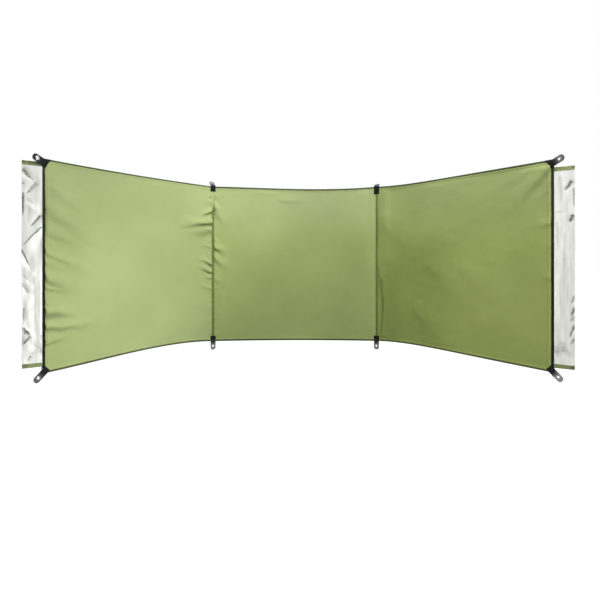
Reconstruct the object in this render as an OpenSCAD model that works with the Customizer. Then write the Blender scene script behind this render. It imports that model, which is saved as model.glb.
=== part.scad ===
// Beach windbreak: three bays of cloth between four poles, with the outer bays turned forward,
// a webbing tab with an eyelet at every pole's top and foot, and a silver flap at each end.
// Millimetres. +X runs along the middle bay, +Y points to the back, +Z up, the ground at z = 0.

/* [Bays] */
// Width of one bay, pole to pole
bay_w = 1200; // [900:50:1500]
// Height of the cloth at the poles, bindings included
bay_h = 1130; // [900:10:1400]
// How far each outer bay is turned forward from the middle bay, in degrees
bay_turn = 51.5; // [20:0.5:65]
// How far the middle of a bay bows to the back
billow = 32; // [10:1:60]
// How deep the top edge of the left, the middle and the right bay is cut in
top_cut = [1, 14, 9];
// How deep the bottom edge of the left, the middle and the right bay is cut in
bottom_cut = [22, 1, 14];
// Where the top cuts are deepest, as a share of the bay from its seam, or from the left seam
top_cut_place = [0.5, 0.65, 0.22];
// Where the bottom cuts are deepest, as a share of the bay from its seam, or from the left seam
bottom_cut_place = [0.33, 0.5, 0.24];
// Thickness of the cloth with its silver backing
cloth_t = 2; // [1:0.5:3]
// Height of the cloth's lower edge above the ground
ground_gap = 62; // [60:1:120]

/* [Bindings] */
// Height of the binding along the top and bottom edges
binding_h = 11; // [6:1:14]
// How far a binding or tape stands proud of the cloth
tape_t = 1; // [0.5:0.5:2]
// Width of the upright tape along each outer edge
end_tape_w = 16; // [12:1:25]
// Width of the seam band on either side of an inner pole line
seam_band_w = 9; // [6:1:14]
// Length of a corner patch's two straight sides
patch_l = 55; // [40:1:80]

/* [Tabs] */
// Width of the webbing
tab_w = 38; // [30:1:45]
// Length of a seam tab
tab_l = 100; // [90:5:120]
// Length of a corner tab
corner_tab_l = 85; // [80:5:120]
// Thickness of the webbing
tab_t = 2.5; // [2:0.5:3]
// Length of a bottom seam tab that hangs below the cloth
foot_tab_free = 60; // [50:1:60]
// Length of the left and the right top seam tab that stands above the cloth
head_tab_free = [60, 43];
// How far the left and the right top seam tab lean to the back, in degrees
head_tab_lean = [50, 60];
// Length of a corner tab that stands out past the cloth's outer edge
corner_tab_free = 60; // [50:1:60]
// How steeply a top corner tab rises, in degrees
top_corner_angle = 25; // [10:1:45]
// How steeply a bottom corner tab falls, in degrees
bottom_corner_angle = 40; // [20:1:45]
// Distance from the cloth's top corner down to where the tab's middle line crosses the outer edge
top_corner_drop = 19; // [10:1:25]
// Distance from the cloth's bottom corner up to where the tab's middle line crosses the outer edge
bottom_corner_rise = 4; // [0:1:10]

/* [Eyelets] */
// Radius of an eyelet's hole
eyelet_hole_r = 6; // [4:0.5:7]
// Radius of an eyelet's flange
eyelet_flange_r = 12; // [10:0.5:14]
// Distance from an eyelet's centre to the tab's free end
eyelet_inset = 27; // [25:1:32]

/* [Poles] */
// Outer diameter of a pole
pole_d = 16; // [14:1:18]
// Wall of a pole
pole_wall = 1.5; // [1:0.5:2]
// Diameter of the spike below a pole
spike_d = 6; // [5:1:10]

/* [Flaps] */
// Width of the flap at each end
flap_w = 95; // [60:5:150]
// How far a flap is turned forward from the middle bay, in degrees
flap_turn = 33; // [0:1:45]
// Distance from the cloth's top corner down to the top of the left and the right flap
flap_top_inset = [20, 43];
// Distance from the cloth's bottom corner up to the bottom of the left and the right flap
flap_bottom_inset = [38, 26];
// Height of the turned hem at the flap's top and bottom
hem_h = 25; // [15:1:40]

/* [Hidden] */
cloth_low = ground_gap;
cloth_high = ground_gap + bay_h;

// The bay's plan is an arc of this radius, which meets the chord at bay_slope degrees
bay_r = (pow(bay_w / 2, 2) + pow(billow, 2)) / (2 * billow);
bay_slope = asin(bay_w / 2 / bay_r);
arc_fn = 720;
edge_steps = 30;
reach = 60;

// The angle between a bay's cloth and the plane square to the seam's bisector
seam_fold = bay_turn / 2 - bay_slope;

// The box around the whole object is centred on y = 0
front_y = bay_w * sin(bay_turn) + flap_w * sin(flap_turn);
back_y = billow + cloth_t + tape_t;
frame_shift = (front_y - back_y) / 2;

fit_gap = 0.1;
eyelet_rim = 0.9;
barrel_r = eyelet_hole_r + 1.5;
// Flat pieces at an outer corner clear the cloth's bow, with the binding or the patch between
patch_lift = tape_t + pow(patch_l, 2) / (2 * bay_r) + fit_gap;
corner_lift = patch_lift + tape_t + fit_gap;
seam_lift = tab_w / 2 * tan(seam_fold) + tape_t / cos(seam_fold) + fit_gap;
bend_clear = tab_t;
// Bindings stop this far short of a pole line, so that neighbours don't meet in the fold
binding_end = tape_t * tan(seam_fold) + fit_gap;
// Tapes and seam bands stop 2 mm short of the bindings
tape_low = cloth_low + binding_h + 2;
tape_high = cloth_high - binding_h - 2;

pole_r = pole_d / 2;
sleeve_bore_r = pole_r + 0.5;
sleeve_r = sleeve_bore_r + 2;
end_pole_back = cloth_t + sleeve_r + fit_gap;
seam_pole_back = end_pole_back + 1;
pole_inset = 12;
pole_low = cloth_low + 2;
pole_high = cloth_high - binding_h;
pole_cap = 3;
collar_h = 5;
plug_h = 40;
sleeve_low = cloth_low + 20;
sleeve_high = pole_high - 6;
seam_sleeve_foot = 18;

flap_start = 1.5;
flap_t = 1.5;

cloth_green = [0.55, 0.63, 0.33];
edge_olive = [0.2, 0.24, 0.12];
web_black = [0.08, 0.08, 0.09];
cloth_silver = [0.82, 0.83, 0.83];
steel_grey = [0.7, 0.71, 0.72];

// ---- Places ----

// The left half of the windbreak is the right half in a mirror
module on_side(side) {
    translate([0, frame_shift, 0])
        mirror([side == "left" ? 1 : 0, 0, 0])
            children();
}

// A bay's own frame: x along its chord, y to the back. An outer bay's x starts at its seam
module in_bay(bay) {
    if (bay == "middle")
        translate([-bay_w / 2, frame_shift, 0]) children();
    else
        on_side(bay) translate([bay_w / 2, 0, 0]) rotate([0, 0, -bay_turn]) children();
}

// A seam's frame: x square to the seam's bisector, y along it to the back
module at_seam(side) {
    on_side(side) translate([bay_w / 2, 0, 0]) rotate([0, 0, -bay_turn / 2]) children();
}

// The frame of an outer bay's outer edge: x outward along the cloth, y to the back
module at_end(side) {
    in_bay(side) translate([bay_w, 0, 0]) rotate([0, 0, -bay_slope]) children();
}

// ---- Cloth ----

// A strip that follows the bay's bow, from x0 to x1 and z0 to z1, starting behind the front face
module strip(x0, x1, z0, z1, behind, thick) {
    a0 = asin((x0 - bay_w / 2) / bay_r);
    a1 = asin((x1 - bay_w / 2) / bay_r);
    translate([bay_w / 2, billow - bay_r, z0])
        rotate([0, 0, 90 - a1])
            rotate_extrude(angle = a1 - a0, $fn = arc_fn)
                translate([bay_r + behind, 0])
                    square([thick, z1 - z0]);
}

// The share of an edge's cut at a share t of the bay: 0 at the poles, 1 at the place where it is deepest
function cut_share(t, place) =
    let (sharp = 1 / min(place, 1 - place), a = place * sharp, b = (1 - place) * sharp)
        pow(t, a) * pow(1 - t, b) / (pow(place, a) * pow(1 - place, b));

function bay_number(bay) = search([bay], ["left", "middle", "right"])[0];
function step_shares() = [for (i = [0 : edge_steps]) i / edge_steps];

// The bay's bottom edge, raised by up, and its top edge, lowered by down, as points of x and z
function bottom_edge(bay, up) =
    let (n = bay_number(bay))
        [for (t = step_shares())
            [t * bay_w, cloth_low + up + bottom_cut[n] * cut_share(t, bottom_cut_place[n])]];
function top_edge(bay, down) =
    let (n = bay_number(bay))
        [for (t = step_shares())
            [t * bay_w, cloth_high - down - top_cut[n] * cut_share(t, top_cut_place[n])]];

// Everything in the bay between two edges
module between(low, high) {
    translate([0, reach, 0])
        rotate([90, 0, 0])
            linear_extrude(2 * reach)
                polygon(concat(low, [for (i = [edge_steps : -1 : 0]) high[i]]));
}

module panel(bay) {
    color(cloth_green)
        in_bay(bay)
            intersection() {
                strip(0, bay_w, cloth_low, cloth_high, 0, cloth_t);
                between(bottom_edge(bay, binding_h), top_edge(bay, binding_h));
            }
}

module top_binding(bay) {
    color(edge_olive)
        in_bay(bay)
            intersection() {
                strip(binding_end, bay_w - binding_end, cloth_low, cloth_high,
                    -tape_t, cloth_t + 2 * tape_t);
                between(top_edge(bay, binding_h), top_edge(bay, 0));
            }
}

module bottom_binding(bay) {
    color(edge_olive)
        in_bay(bay)
            intersection() {
                strip(binding_end, bay_w - binding_end, cloth_low, cloth_high,
                    -tape_t, cloth_t + 2 * tape_t);
                between(bottom_edge(bay, 0), bottom_edge(bay, binding_h));
            }
}

module end_tape(side) {
    color(edge_olive)
        in_bay(side)
            strip(bay_w - end_tape_w, bay_w, tape_low, tape_high, -tape_t, tape_t);
}

// A band of cloth folded into the seam, half on either bay
module seam_band(side) {
    half_w = seam_band_w * cos(seam_fold);
    drop = half_w * tan(seam_fold);
    front = tape_t / cos(seam_fold);
    color(cloth_green)
        at_seam(side)
            translate([0, -fit_gap / 2, tape_low])
                linear_extrude(tape_high - tape_low)
                    polygon([[-half_w, -drop], [0, 0], [half_w, -drop],
                        [half_w, -drop - front], [0, -front], [-half_w, -drop - front]]);
}

// A right-angled patch at an outer corner, over the tape and the binding
module corner_patch(corner_z, up) {
    rotate([90, 0, 0])
        translate([0, 0, patch_lift])
            linear_extrude(tape_t)
                polygon([[-patch_l, corner_z], [0, corner_z], [0, corner_z - up * patch_l]]);
}

module corner_patches(side) {
    color(web_black)
        at_end(side) {
            corner_patch(cloth_high, 1);
            corner_patch(cloth_low, -1);
        }
}

// The flap continues the cloth past the outer pole, silver side to the front
module flap(side) {
    n = side == "left" ? 0 : 1;
    low = cloth_low + flap_bottom_inset[n];
    high = cloth_high - flap_top_inset[n];
    long = flap_w - flap_start;
    color(cloth_silver)
        in_bay(side)
            translate([bay_w, 0, 0])
                rotate([0, 0, bay_turn - flap_turn])
                    translate([flap_start, 0, low]) {
                        cube([long, flap_t, high - low]);
                        cube([long, 2 * flap_t, hem_h]);
                        translate([0, 0, high - low - hem_h]) cube([long, 2 * flap_t, hem_h]);
                    }
}

// ---- Poles ----

// Where a pole stands: behind a seam, or behind an outer bay just inside its edge
module at_pole(side, place) {
    if (place == "seam") at_seam(side) translate([0, seam_pole_back, 0]) children();
    else at_end(side) translate([-pole_inset, end_pole_back, 0]) children();
}

module pole(side, place) {
    color(steel_grey)
        at_pole(side, place)
            difference() {
                translate([0, 0, pole_low]) cylinder(h = pole_high - pole_low, r = pole_r, $fn = 48);
                translate([0, 0, pole_low - 1])
                    cylinder(h = pole_high - pole_low - pole_cap + 1, r = pole_r - pole_wall, $fn = 48);
            }
}

// A thin rod with a collar under the pole and a plug inside it, down to the ground
module spike(side, place) {
    color(steel_grey)
        at_pole(side, place) {
            cylinder(h = pole_low, d = spike_d, $fn = 32);
            translate([0, 0, pole_low - collar_h]) cylinder(h = collar_h, r = pole_r, $fn = 48);
            translate([0, 0, pole_low - 1])
                cylinder(h = plug_h + 1, r = pole_r - pole_wall, $fn = 48);
        }
}

// A sewn pocket round a pole, with feet of half_w on the cloth's back, which folds back at the seams
module sleeve_shape(half_w, fold, back) {
    foot = (cloth_t + fit_gap) / cos(fold) - back;
    difference() {
        union() {
            circle(r = sleeve_r, $fn = 64);
            polygon([[-half_w, foot - half_w * tan(fold)], [0, foot],
                [half_w, foot - half_w * tan(fold)], [sleeve_r, 0], [-sleeve_r, 0]]);
        }
        circle(r = sleeve_bore_r, $fn = 64);
    }
}

module sleeve(side, place) {
    color(cloth_silver)
        at_pole(side, place)
            translate([0, 0, sleeve_low])
                linear_extrude(sleeve_high - sleeve_low)
                    if (place == "seam") sleeve_shape(seam_sleeve_foot, seam_fold, seam_pole_back);
                    else sleeve_shape(pole_inset, 0, end_pole_back);
}

// ---- Tabs and eyelets ----

// Webbing in the x-z plane from z = 0 up to a round free end, with its back face on y = 0
module webbing(long) {
    rotate([90, 0, 0])
        linear_extrude(tab_t)
            difference() {
                union() {
                    translate([-tab_w / 2, 0]) square([tab_w, long - tab_w / 2]);
                    translate([0, long - tab_w / 2]) circle(d = tab_w, $fn = 64);
                }
                translate([0, long - eyelet_inset]) circle(r = barrel_r, $fn = 48);
            }
}

// A plain length of webbing below z = 0, sewn to the cloth
module sewn_webbing(long) {
    translate([-tab_w / 2, -tab_t, -long]) cube([tab_w, tab_t, long]);
}

// A metal ring pressed round the hole of a tab whose free end is at z = long
module eyelet_ring(long) {
    translate([0, eyelet_rim, long - eyelet_inset])
        rotate([90, 0, 0])
            rotate_extrude($fn = 64)
                polygon([
                    [eyelet_hole_r, 0], [eyelet_flange_r - 0.5, 0], [eyelet_flange_r, eyelet_rim],
                    [barrel_r, eyelet_rim], [barrel_r, eyelet_rim + tab_t],
                    [eyelet_flange_r, eyelet_rim + tab_t], [eyelet_flange_r - 0.5, 2 * eyelet_rim + tab_t],
                    [eyelet_hole_r, 2 * eyelet_rim + tab_t]
                ]);
}

// The frame of a corner tab: origin where its middle line crosses the outer edge, z along the tab
module at_corner_tab(side, level) {
    top = level == "top";
    at_end(side)
        translate([0, -corner_lift, top ? cloth_high - top_corner_drop : cloth_low + bottom_corner_rise])
            rotate([0, top ? 90 - top_corner_angle : 90 + bottom_corner_angle, 0])
                children();
}

module corner_tab(side, level) {
    color(web_black)
        at_corner_tab(side, level) {
            webbing(corner_tab_free);
            sewn_webbing(corner_tab_l - corner_tab_free);
        }
}

// The V between a flat tab and the folded seam is filled with the turned-in end of the webbing
module seam_wedge(z0, long) {
    apex = seam_lift - (tape_t + fit_gap) / cos(seam_fold);
    translate([0, 0, z0])
        linear_extrude(long)
            polygon([[-tab_w / 2, 0], [tab_w / 2, 0], [0, apex]]);
}

// The frame of a bottom seam tab: origin at the cloth's lower edge, z down
module at_foot_tab(side) {
    at_seam(side) translate([0, -seam_lift, cloth_low]) rotate([0, 180, 0]) children();
}

module foot_tab(side) {
    sewn = tab_l - foot_tab_free;
    color(web_black)
        at_foot_tab(side) {
            webbing(foot_tab_free);
            sewn_webbing(sewn);
            seam_wedge(-sewn, sewn);
        }
}

// The frame of a top seam tab's free part: origin at its bend above the binding, leaning back
module at_head_tab(side) {
    lean = head_tab_lean[side == "left" ? 0 : 1];
    at_seam(side)
        translate([0, -seam_lift - tab_t / 2, cloth_high + bend_clear])
            rotate([-lean, 0, 0])
                translate([0, tab_t / 2, 0])
                    children();
}

module head_tab(side) {
    free = head_tab_free[side == "left" ? 0 : 1];
    sewn = tab_l - free;
    color(web_black) {
        at_head_tab(side) webbing(free);
        at_seam(side)
            translate([0, -seam_lift, cloth_high]) {
                sewn_webbing(sewn);
                translate([-tab_w / 2, -tab_t, 0]) cube([tab_w, tab_t, bend_clear]);
                translate([-tab_w / 2, -tab_t / 2, bend_clear])
                    rotate([0, 90, 0]) cylinder(h = tab_w, d = tab_t, $fn = 24);
                seam_wedge(-sewn, sewn);
            }
    }
}

module tab(side, place, level) {
    if (place == "end") corner_tab(side, level);
    else if (level == "top") head_tab(side);
    else foot_tab(side);
}

module eyelet(side, place, level) {
    color("gainsboro")
        if (place == "end") at_corner_tab(side, level) eyelet_ring(corner_tab_free);
        else if (level == "top") at_head_tab(side) eyelet_ring(head_tab_free[side == "left" ? 0 : 1]);
        else at_foot_tab(side) eyelet_ring(foot_tab_free);
}

panel("left");  // left_panel
panel("middle");  // middle_panel
panel("right");  // right_panel
top_binding("left");  // left_top_binding
top_binding("middle");  // middle_top_binding
top_binding("right");  // right_top_binding
bottom_binding("left");  // left_bottom_binding
bottom_binding("middle");  // middle_bottom_binding
bottom_binding("right");  // right_bottom_binding
end_tape("left");  // left_end_tape
end_tape("right");  // right_end_tape
seam_band("left");  // left_seam_band
seam_band("right");  // right_seam_band
corner_patches("left");  // left_corner_patches
corner_patches("right");  // right_corner_patches
flap("left");  // left_flap
flap("right");  // right_flap
sleeve("left", "end");  // left_end_sleeve
sleeve("left", "seam");  // left_seam_sleeve
sleeve("right", "seam");  // right_seam_sleeve
sleeve("right", "end");  // right_end_sleeve
pole("left", "end");  // left_end_pole
pole("left", "seam");  // left_seam_pole
pole("right", "seam");  // right_seam_pole
pole("right", "end");  // right_end_pole
spike("left", "end");  // left_end_spike
spike("left", "seam");  // left_seam_spike
spike("right", "seam");  // right_seam_spike
spike("right", "end");  // right_end_spike
tab("left", "end", "top");  // left_end_top_tab
tab("left", "seam", "top");  // left_seam_top_tab
tab("right", "seam", "top");  // right_seam_top_tab
tab("right", "end", "top");  // right_end_top_tab
tab("left", "end", "bottom");  // left_end_bottom_tab
tab("left", "seam", "bottom");  // left_seam_bottom_tab
tab("right", "seam", "bottom");  // right_seam_bottom_tab
tab("right", "end", "bottom");  // right_end_bottom_tab
eyelet("left", "end", "top");  // left_end_top_eyelet
eyelet("left", "seam", "top");  // left_seam_top_eyelet
eyelet("right", "seam", "top");  // right_seam_top_eyelet
eyelet("right", "end", "top");  // right_end_top_eyelet
eyelet("left", "end", "bottom");  // left_end_bottom_eyelet
eyelet("left", "seam", "bottom");  // left_seam_bottom_eyelet
eyelet("right", "seam", "bottom");  // right_seam_bottom_eyelet
eyelet("right", "end", "bottom");  // right_end_bottom_eyelet
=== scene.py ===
"""A beach windbreak in three bays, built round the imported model.

Metres throughout, in the model's own frame: +X along the middle bay, +Y to the back, +Z up.
A bay also has a frame of its own: x along the bay (from its seam outward, or from left to right
in the middle bay), y to the back and z up. Relief is how far cloth stands proud to the front.
"""
import itertools
import math

import bmesh
import bpy
import numpy as np
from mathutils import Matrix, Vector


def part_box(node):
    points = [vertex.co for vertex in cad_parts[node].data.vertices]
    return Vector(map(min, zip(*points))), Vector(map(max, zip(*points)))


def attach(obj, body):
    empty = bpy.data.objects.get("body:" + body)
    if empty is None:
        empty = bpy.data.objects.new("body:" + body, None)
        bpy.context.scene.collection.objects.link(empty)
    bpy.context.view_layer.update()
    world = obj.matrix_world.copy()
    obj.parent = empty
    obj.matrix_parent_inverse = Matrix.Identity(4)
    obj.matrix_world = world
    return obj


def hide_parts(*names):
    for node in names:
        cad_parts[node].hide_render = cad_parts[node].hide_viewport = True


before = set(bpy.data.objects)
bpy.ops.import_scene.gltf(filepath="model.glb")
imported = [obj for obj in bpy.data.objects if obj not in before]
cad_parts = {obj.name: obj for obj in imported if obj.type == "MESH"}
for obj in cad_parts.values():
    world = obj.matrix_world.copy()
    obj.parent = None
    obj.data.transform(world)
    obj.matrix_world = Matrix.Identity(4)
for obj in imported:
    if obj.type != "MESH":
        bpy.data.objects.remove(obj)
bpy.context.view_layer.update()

# ---- Camera

LENS_MM = 27.55
SENSOR_MM = 36
LENS_SHIFT = (0.0217, -0.0694)
CAMERA_AT = (-0.084, -2.880, 0.667)
CAMERA_TURN = math.radians(-0.45)
camera_data = bpy.data.cameras.new("camera")
camera_data.sensor_width = SENSOR_MM
camera_data.lens = LENS_MM
camera_data.shift_x, camera_data.shift_y = LENS_SHIFT
camera_data.clip_end = 200
camera = bpy.data.objects.new("camera", camera_data)
camera.location = CAMERA_AT
camera.rotation_euler = (math.pi / 2, 0, CAMERA_TURN)
bpy.context.scene.collection.objects.link(camera)
bpy.context.scene.camera = camera
bpy.context.scene.view_settings.view_transform = "Standard"

# ---- Sizes

MM = 0.001
SIDES = {"left": -1, "right": 1}
BAYS = ("left", "middle", "right")

CAD_CLOTH_T = 0.002
middle_low, middle_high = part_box("middle_panel")
BAY_W = round(middle_high.x - middle_low.x, 3)
SEAM_Y = middle_low.y
BILLOW = middle_high.y - SEAM_Y - CAD_CLOTH_T
BAY_TURN = math.asin((SEAM_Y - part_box("right_panel")[0].y) / BAY_W)
CLOTH_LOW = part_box("middle_bottom_binding")[0].z
CLOTH_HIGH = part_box("middle_top_binding")[1].z
BINDING_H = middle_low.z - CLOTH_LOW

BAY_R = (BAY_W**2 / 4 + BILLOW**2) / (2 * BILLOW)
BAY_SLOPE = math.asin(BAY_W / 2 / BAY_R)
SEAM_FOLD = BAY_TURN / 2 - BAY_SLOPE

# How deep each edge of a bay is cut in, and at which share of the bay it is deepest
EDGE_CUTS = {
    ("left", "top"): (0.001, 0.5), ("left", "bottom"): (0.022, 0.33),
    ("middle", "top"): (0.014, 0.65), ("middle", "bottom"): (0.001, 0.5),
    ("right", "top"): (0.009, 0.22), ("right", "bottom"): (0.014, 0.24),
}

CLOTH_T = 0.0012
HEM_H = 0.019
TAPE_W = 0.016
TAPE_T = 0.0011
BAND_T = 0.0012
FELL_HALF_W = {"left": 0.0100, "right": 0.0086}

FLAP_W = 0.095
FLAP_TURN = math.radians(33)
FLAP_LOW = {side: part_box(side + "_flap")[0].z for side in SIDES}
FLAP_HIGH = {side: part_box(side + "_flap")[1].z for side in SIDES}
FLAP_HEM = 0.022
FLAP_START = 0.001

TAB_HALF_W = 0.019
TAB_T = 0.0025
TAB_L = 0.1
CORNER_TAB_L = 0.085
CORNER_TAB_FREE = 0.06
FOOT_TAB_FREE = 0.06
HEAD_TAB_FREE = {"left": 0.06, "right": 0.043}
HEAD_TAB_LEAN = {"left": math.radians(50), "right": math.radians(60)}
CORNER_TAB_ANGLE = {"top": math.radians(25), "bottom": math.radians(-40)}
CORNER_TAB_Z = {"top": CLOTH_HIGH - 0.019, "bottom": CLOTH_LOW + 0.004}
PATCH_LIFT = 0.003
CORNER_LIFT = 0.0025
SEAM_LIFT = TAB_HALF_W * math.tan(SEAM_FOLD) + 0.0012
EYELET_INSET = 0.027
EYELET_R = 0.006
EYELET_FLANGE_R = 0.012

pole_low, pole_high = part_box("left_seam_pole")
POLE_R = (pole_high.x - pole_low.x) / 2
END_POLE_INSET = 0.012
POCKET_LOW, POCKET_HIGH = [corner.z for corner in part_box("left_end_sleeve")]


# ---- Places


def turned(side, start, angle, x, y, z):
    """Points of a frame at start, turned forward by angle, on one half of the plan."""
    x, y, z = np.broadcast_arrays(x, y, z)
    cos, sin = math.cos(angle), math.sin(angle)
    across = SIDES[side] * (start[0] + x * cos + y * sin)
    return np.stack([across, start[1] - x * sin + y * cos, z], axis=-1)


def in_bay(bay, x, y, z):
    if bay == "middle":
        x, y, z = np.broadcast_arrays(x, y, z)
        return np.stack([x - BAY_W / 2, SEAM_Y + y, z], axis=-1)
    return turned(bay, (BAY_W / 2, SEAM_Y), BAY_TURN, x, y, z)


def at_seam(side, x, y, z):
    """The frame of a seam: x square to the seam's bisector, y along it to the back."""
    return turned(side, (BAY_W / 2, SEAM_Y), BAY_TURN / 2, x, y, z)


def end_point():
    """Where an outer bay's cloth ends, on the right half of the plan."""
    return (BAY_W / 2 + BAY_W * math.cos(BAY_TURN), SEAM_Y - BAY_W * math.sin(BAY_TURN))


def at_end(side, x, y, z):
    """The frame of an outer edge: x outward along the cloth, y to the back."""
    return turned(side, end_point(), BAY_TURN + BAY_SLOPE, x, y, z)


def on_flap(side, x, y, z):
    """The frame of a flap: x outward from the outer pole line, y to the back."""
    return turned(side, end_point(), FLAP_TURN, x, y, z)


def direction(place, which, x, y, z):
    """A direction of one of the frames above, in the model's own frame."""
    return place(which, x, y, z) - place(which, 0.0, 0.0, 0.0)


def front_of(place, which):
    """The direction that the front of one of these frames faces."""
    return direction(place, which, 0.0, -1.0, 0.0)


# ---- Relief of the cloth


def smooth(low, high, value):
    t = np.clip((value - low) / (high - low), 0, 1)
    return t * t * (3 - 2 * t)


def bow_y(x):
    """How far the bay's front face bows to the back at x."""
    return np.sqrt(BAY_R**2 - (x - BAY_W / 2) ** 2) - (BAY_R - BILLOW)


def edge_cut(bay, level, x):
    """How far a bay's top or bottom edge is cut in at x."""
    depth, place = EDGE_CUTS[bay, level]
    t = np.clip(x / BAY_W, 0, 1)
    sharp = 1 / min(place, 1 - place)
    near, far = place * sharp, (1 - place) * sharp
    return depth * t**near * (1 - t) ** far / (place**near * (1 - place) ** far)


def cloth_edge(bay, level, x):
    """The height of a bay's top or bottom edge at x."""
    if level == "top":
        return CLOTH_HIGH - edge_cut(bay, level, x)
    return CLOTH_LOW + edge_cut(bay, level, x)


def from_line(x, z, start, end):
    """The share of the way from start to end at x and z, and how far above the line they lie."""
    long = math.hypot(end[0] - start[0], end[1] - start[1])
    ux, uz = (end[0] - start[0]) / long, (end[1] - start[1]) / long
    share = ((x - start[0]) * ux + (z - start[1]) * uz) / long
    across = (z - start[1]) * ux - (x - start[0]) * uz
    return share, across if ux > 0 else -across


def ridge(x, z, start, end, width, height):
    """A crease from start that widens and fades towards end: gentle above its crest, steep below."""
    share, above = from_line(x, z, start, end)
    wide = width * (1 + 0.9 * np.clip(share, 0, 1)) * np.where(above > 0, 1.3, 0.8)
    fade = smooth(-0.05, 0.05, share) * (1 - smooth(0.25, 1.0, share))
    return height * np.exp(-((above / wide) ** 2)) * fade


def fold(x, z, start, end, width, height):
    """A sharp fold between two nearly flat facets."""
    share, above = from_line(x, z, start, end)
    tent = np.clip(1.12 - np.sqrt((above / width) ** 2 + 0.0144), 0, 1) ** 1.5
    return height * tent * smooth(-0.30, 0.25, share) * (1 - smooth(0.55, 1.20, share))


def mark(x, z, start, end, width, strength):
    """A line or patch of painted shade that thins towards its end."""
    share, above = from_line(x, z, start, end)
    wide = width * (1 - 0.45 * np.clip(share, 0, 1))
    fade = smooth(-0.10, 0.06, share) * (1 - smooth(0.70, 1.08, share))
    return strength * np.exp(-((above / wide) ** 2)) * fade


def ripple(x, z, seed, longest, count=7):
    """A smooth wandering height between about -1 and 1, whose waves are as long as longest."""
    rng = np.random.default_rng(seed)
    total = 0
    for _ in range(count):
        wave = 2 * math.pi / longest * rng.uniform(0.7, 1.8)
        turn = rng.uniform(0, math.pi)
        phase = rng.uniform(0, 2 * math.pi)
        total = total + np.sin(wave * (x * math.cos(turn) + z * math.sin(turn)) + phase)
    return total / count


def puckers(seed, at_x, inward, pitch, long, height):
    """Small creases along an upright seam, each as (start, end, width, height)."""
    rng = np.random.default_rng(seed)
    rows = []
    z = 0.10
    while z < 1.15:
        reach = long * rng.uniform(0.4, 1.6)
        rise = reach * rng.uniform(-0.45, 0.45)
        start = (at_x, z)
        end = (at_x + inward * reach, z + rise)
        rows.append((start, end, rng.uniform(0.004, 0.007), height * rng.uniform(0.3, 1.0)))
        z += pitch * rng.uniform(0.6, 1.5)
    return rows


def in_metres(tables, unit=MM):
    """Rows of millimetres as (start, end, width, last), where last is in the unit given."""
    return {name: [((x0 * MM, z0 * MM), (x1 * MM, z1 * MM), width * MM, last * unit)
                   for x0, z0, x1, z1, width, last in rows] for name, rows in tables.items()}


# Creases in each bay's own frame, in millimetres: x and z of the start and the end, width, height
CREASES = in_metres({
    "left": [
        (1200, 705, 860, 560, 19, 8), (1200, 645, 1060, 615, 12, 5), (1200, 572, 960, 478, 19, 10),
        (1200, 515, 1020, 480, 12, 7), (1200, 440, 1090, 410, 12, 5), (1200, 385, 940, 352, 21, 12),
        (1200, 300, 800, 292, 20, 11), (1200, 212, 1000, 275, 17, 8.5),
        (1160, 1050, 860, 880, 34, 7.5), (1200, 830, 870, 700, 30, 7.5),
        (1180, 940, 700, 700, 50, 9), (0, 1128, 60, 1108, 8, 7), (0, 1086, 70, 1066, 10, 9),
        (0, 1052, 60, 1056, 10, 12), (0, 1026, 140, 960, 13, 17), (0, 934, 340, 895, 18, 20),
        (0, 872, 300, 850, 26, 10), (0, 800, 70, 780, 10, 6), (0, 745, 120, 775, 14, 7),
        (0, 610, 150, 685, 12, 15), (0, 568, 150, 625, 12, 15), (0, 525, 100, 530, 12, 8),
        (0, 435, 120, 480, 14, 8), (0, 300, 300, 420, 40, 5), (0, 140, 260, 280, 45, 3.5),
    ],
    "middle": [
        (0, 1122, 60, 1118, 8, 5), (0, 1066, 60, 985, 13, 18), (0, 1030, 120, 880, 20, 8),
        (0, 800, 70, 770, 10, 6), (0, 765, 110, 690, 15, 15), (0, 690, 130, 560, 18, 10),
        (0, 520, 90, 480, 13, 5), (330, 1150, 520, 1140, 12, 3), (480, 1095, 760, 1090, 16, 4),
        (1115, 1210, 1115, 400, 40, 8), (1150, 700, 1150, -100, 28, 4.5), (60, 420, 50, 20, 30, 5),
    ],
    "right": [
        (1190, 1175, 880, 880, 34, 10), (1200, 1100, 1020, 860, 24, 6),
        (1140, 1185, 820, 1060, 30, 5), (400, 640, 800, 310, 50, 4.2),
        (640, 620, 980, 360, 45, 3.4), (20, 980, 430, 590, 60, 5), (300, 330, 620, 110, 50, 5.5),
        (70, 1220, 70, 460, 36, 6.5), (1200, 860, 1090, 840, 18, 4),
        (1200, 560, 1110, 575, 18, 3.5),
    ],
})
# Puckers along the pole lines: bay, seed, place, way inward, pitch, length, height
for pucker_bay, *pucker in (
        ("left", 11, 1.190, -1, 0.030, 0.034, 0.0026), ("left", 12, 0.0, 1, 0.022, 0.045, 0.0036),
        ("middle", 13, 0.0, 1, 0.024, 0.038, 0.0030), ("middle", 14, 1.2, -1, 0.034, 0.025, 0.0010),
        ("right", 15, 0.0, 1, 0.034, 0.025, 0.0010), ("right", 16, 1.190, -1, 0.036, 0.030, 0.0012)):
    CREASES[pucker_bay] += puckers(*pucker)

# The pleat beside the right seam: where it starts, how far it lies from the seam, how high it stands
PLEAT_TOP = 0.62
PLEAT_X = 0.052
PLEAT_H = 0.0060
# Painted shade of a bay, lines by the pleat and broad patches: x and z of start and end, width, strength
PAINTED_SHADES = in_metres({
    "left": [],
    "middle": [(980, 820, 980, -300, 220, 0.14)],
    "right": [
        (380, 800, 400, -300, 200, 0.19), (10, 610, 60, 440, 6, 0.45), (48, 510, 62, 260, 6, 0.45),
        (60, 380, 30, 75, 6, 0.4), (100, 620, 120, -300, 140, 0.28),
    ],
}, 1)


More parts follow.
